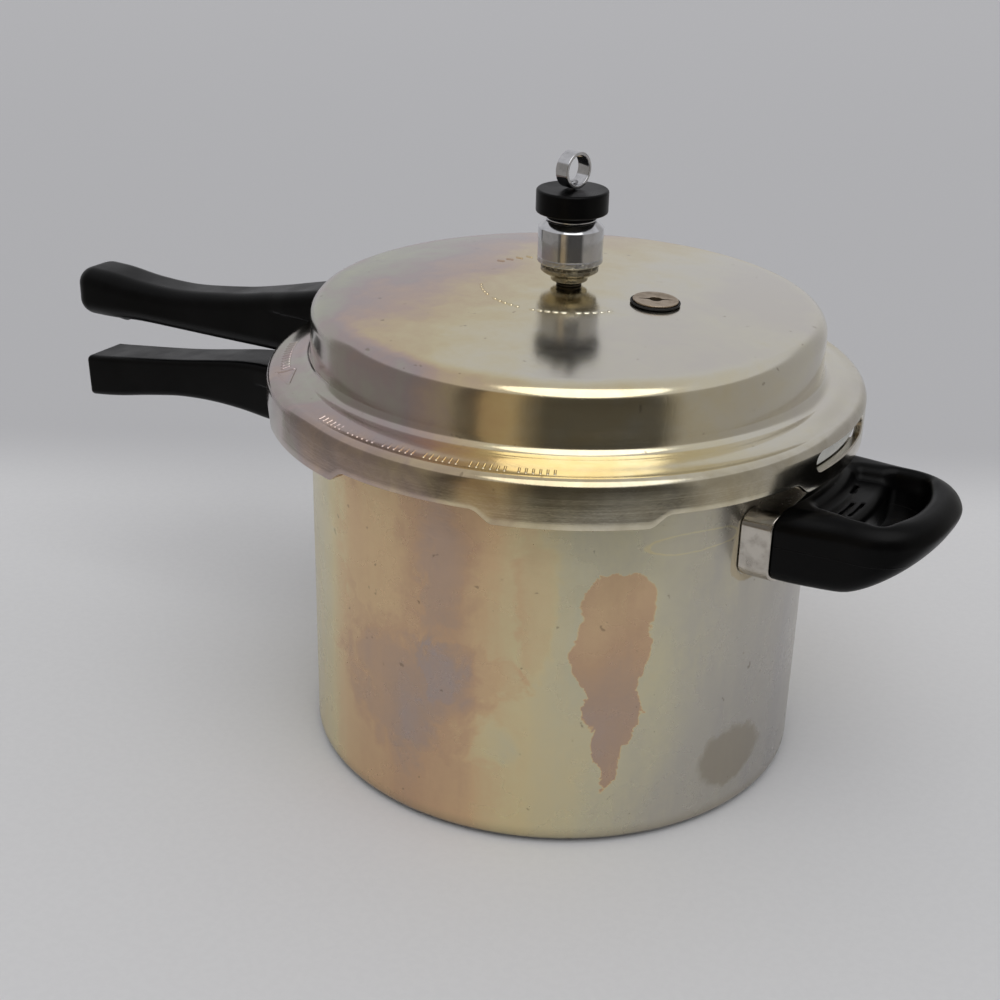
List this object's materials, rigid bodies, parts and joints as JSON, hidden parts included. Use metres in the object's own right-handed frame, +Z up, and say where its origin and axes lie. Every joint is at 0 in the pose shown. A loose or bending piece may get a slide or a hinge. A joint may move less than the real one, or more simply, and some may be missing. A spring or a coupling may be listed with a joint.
{
  "type": "stovetop pressure cooker",
  "caption": "Drawn aluminium stovetop pressure cooker with a bayonet lid, long pan and lid handles, a helper handle, a weight valve and a safety plug.",
  "frame": {"origin": "centre of the pan's flat bottom, on the pan's and the lid's axis", "axes": "+Z up along the pan's axis, +X towards the helper handle, -X along the two long handles"},
  "size_m": [0.437, 0.248, 0.2557],
  "materials": {
    "satin_aluminium": "satin with heat tint",
    "chromed_steel": "mirror",
    "plain_steel": "machined",
    "brass": "machined",
    "fusible_alloy": "matte",
    "black_bakelite": "fine texture",
    "black_rubber": "matte",
    "pale_silicone": "matte"
  },
  "bodies": {
    "pan": {"pan_body": "satin_aluminium", "pan_handle_bracket": "chromed_steel", "pan_handle_bracket_rivet_left": "chromed_steel", "pan_handle_bracket_rivet_right": "chromed_steel", "pan_handle": "black_bakelite", "pan_handle_screw": "chromed_steel", "pan_handle_nut": "plain_steel", "helper_bracket": "chromed_steel", "helper_bracket_rivet_left": "chromed_steel", "helper_bracket_rivet_right": "chromed_steel", "helper_handle": "black_bakelite", "helper_handle_screw": "chromed_steel", "helper_handle_nut": "plain_steel"},
    "gasket": {"sealing_gasket": "pale_silicone"},
    "lid": {"lid_shell": "satin_aluminium", "lid_handle_bracket": "chromed_steel", "lid_bracket_rivet_left": "chromed_steel", "lid_bracket_rivet_right": "chromed_steel", "lid_handle": "black_bakelite", "lid_handle_screw": "chromed_steel", "lid_handle_nut": "plain_steel", "vent_tube": "plain_steel", "vent_tube_washer": "brass", "vent_tube_nut": "brass", "safety_plug_body": "plain_steel", "safety_plug_washer": "black_rubber", "safety_plug_nut": "brass", "safety_plug_core": "fusible_alloy"},
    "valve": {"valve_pin": "plain_steel"},
    "weight": {"weight_base": "chromed_steel", "weight_body": "chromed_steel", "weight_grip_ring": "plain_steel", "weight_neck_ring": "chromed_steel", "weight_knob": "black_bakelite", "finger_ring": "chromed_steel", "finger_ring_stud": "plain_steel"}
  },
  "joints": [
    {"name": "lid_lift", "type": "slide", "parent": "pan", "child": "gasket", "axis": [0, 0, 1], "range_m": [0, 0.12]},
    {"name": "lid_turn", "type": "hinge", "parent": "gasket", "child": "lid", "pos_m": [0, 0, 0.16], "axis": [0, 0, 1], "range_deg": [0, 30]},
    {"name": "weight_lift", "type": "slide", "parent": "lid", "child": "valve", "axis": [0, 0, 1], "range_m": [0, 0.045]},
    {"name": "weight_spin", "type": "hinge", "parent": "valve", "child": "weight", "pos_m": [0, 0, 0.22], "axis": [0, 0, 1], "continuous": true}
  ]
}
